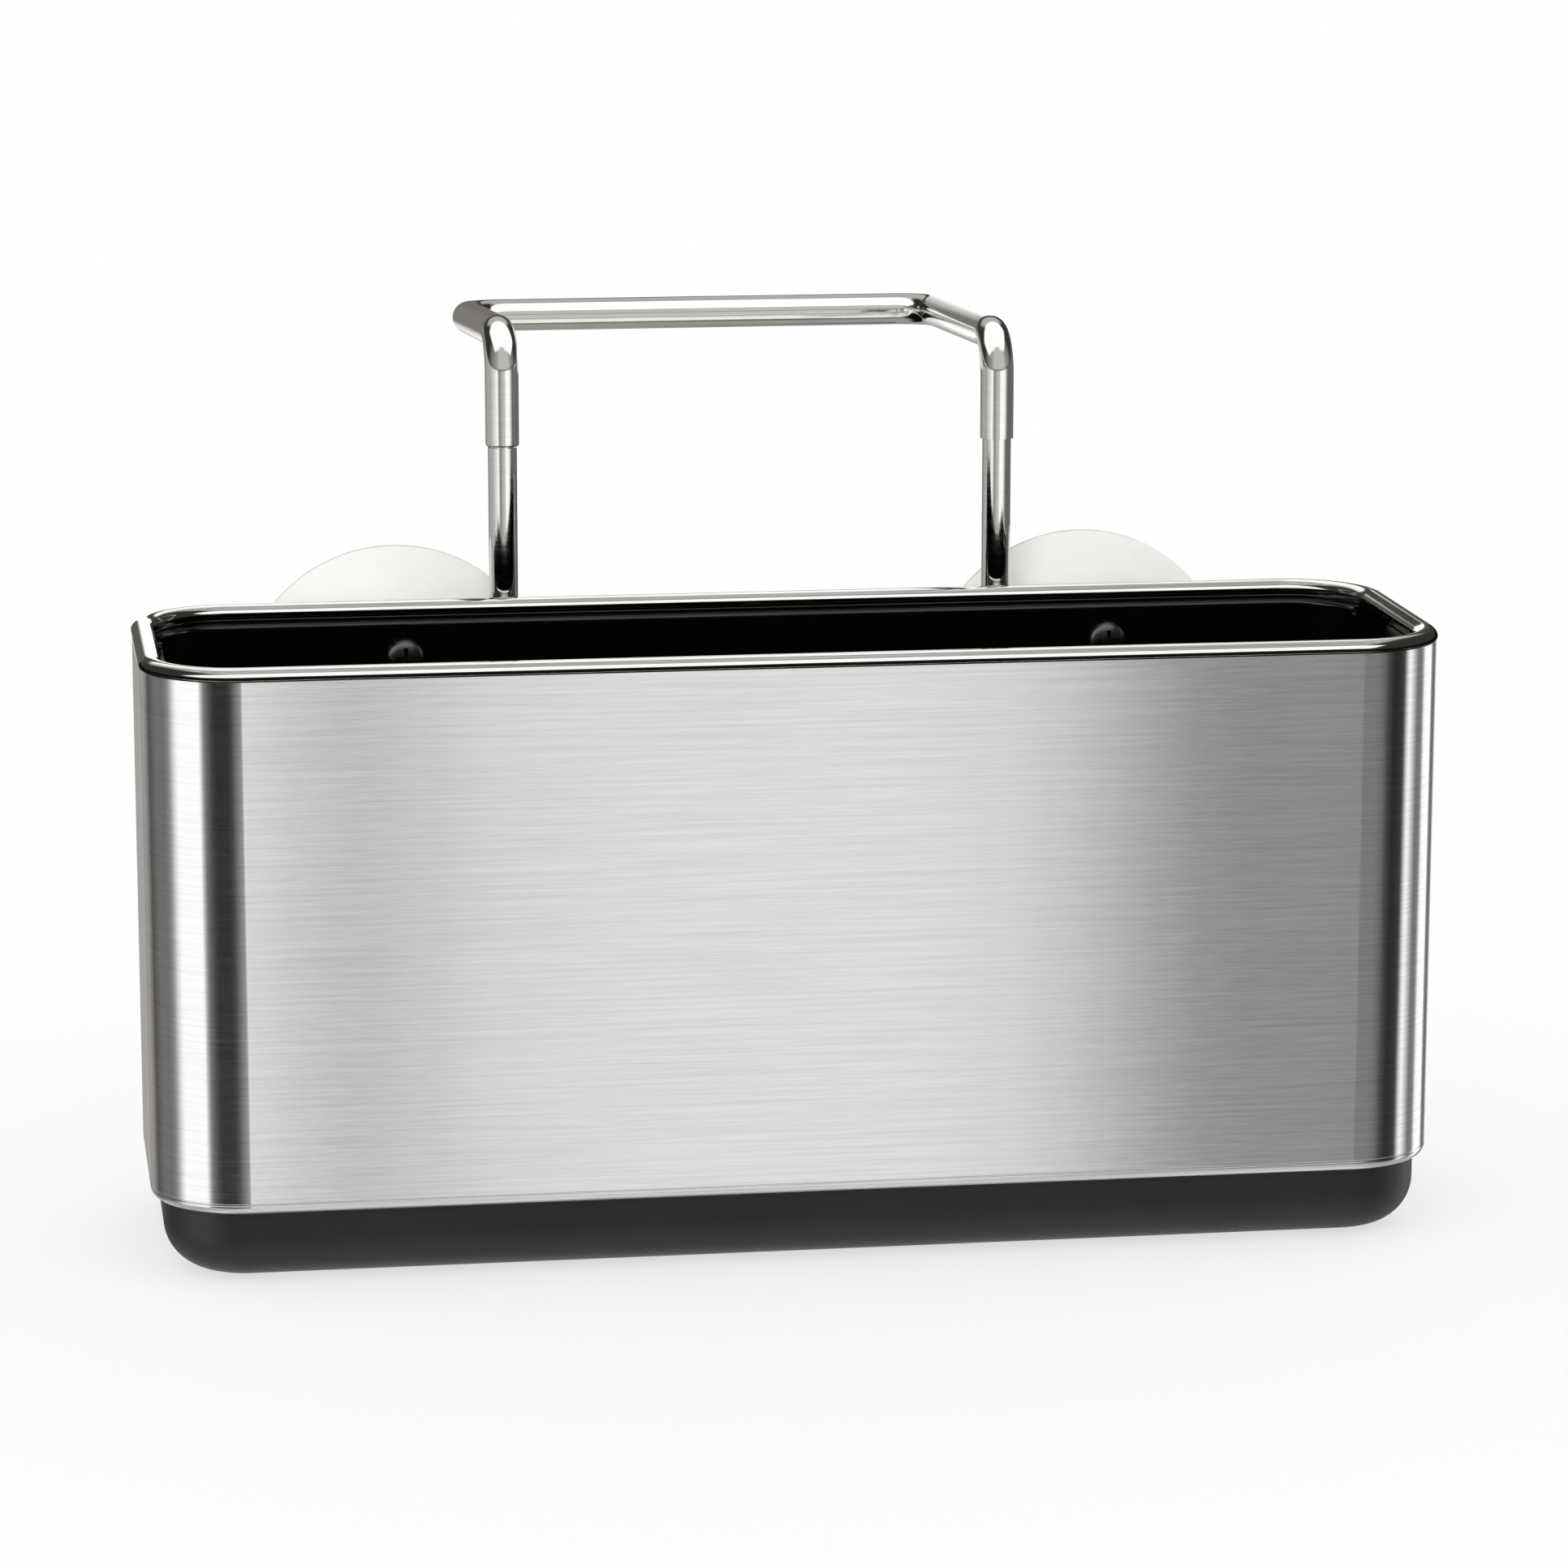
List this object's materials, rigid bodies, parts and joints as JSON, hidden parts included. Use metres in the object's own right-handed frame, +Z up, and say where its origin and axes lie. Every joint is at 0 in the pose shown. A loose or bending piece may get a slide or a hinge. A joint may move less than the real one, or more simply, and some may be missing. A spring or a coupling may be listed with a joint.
{
  "type": "sink caddy",
  "caption": "Slim rounded sink caddy: a brushed steel sleeve round a moulded tub, with a sliding wire hook for a sink divider and suction cups on the back.",
  "frame": {"origin": "centre of the flat underside of the base", "axes": "+X to the right along the caddy's length, -Y out of the front, +Y back towards the sink wall with the suction cups, +Z up"},
  "size_m": [0.2504, 0.161, 0.1735],
  "materials": {
    "brushed_stainless": "brushed along its length",
    "polished_stainless": "polished stainless steel",
    "gloss_black_abs": "glossy black moulding",
    "satin_black_pp": "satin black moulding",
    "black_rubber": "matte black rubber",
    "frosted_pvc": "soft, milky and half clear",
    "screw_steel": "dark nickel screw, slightly matt"
  },
  "bodies": {
    "caddy": {"sleeve": "brushed_stainless", "rim_trim": "polished_stainless", "liner": "gloss_black_abs", "base_tray": "satin_black_pp", "bracket_left": "satin_black_pp", "bracket_right": "satin_black_pp", "rod_pad_left": "black_rubber", "rod_pad_right": "black_rubber", "suction_cup_left": "frosted_pvc", "suction_cup_right": "frosted_pvc", "back_screw_left_lower": "screw_steel", "back_screw_left_upper": "screw_steel", "back_screw_right_lower": "screw_steel", "back_screw_right_upper": "screw_steel", "base_screw_left_front": "screw_steel", "base_screw_left_rear": "screw_steel", "base_screw_right_front": "screw_steel", "base_screw_right_rear": "screw_steel"},
    "hook": {"hook_loop": "polished_stainless", "hook_stem": "polished_stainless"},
    "rack": {"sponge_rack": "satin_black_pp"}
  },
  "joints": [
    {"name": "hook_slide", "type": "slide", "parent": "caddy", "child": "hook", "axis": [0, 0, 1], "range_m": [-0.033, 0.028]},
    {"name": "rack_lift_out", "type": "slide", "parent": "caddy", "child": "rack", "axis": [0, 0, 1], "range_m": [0, 0.12]}
  ]
}
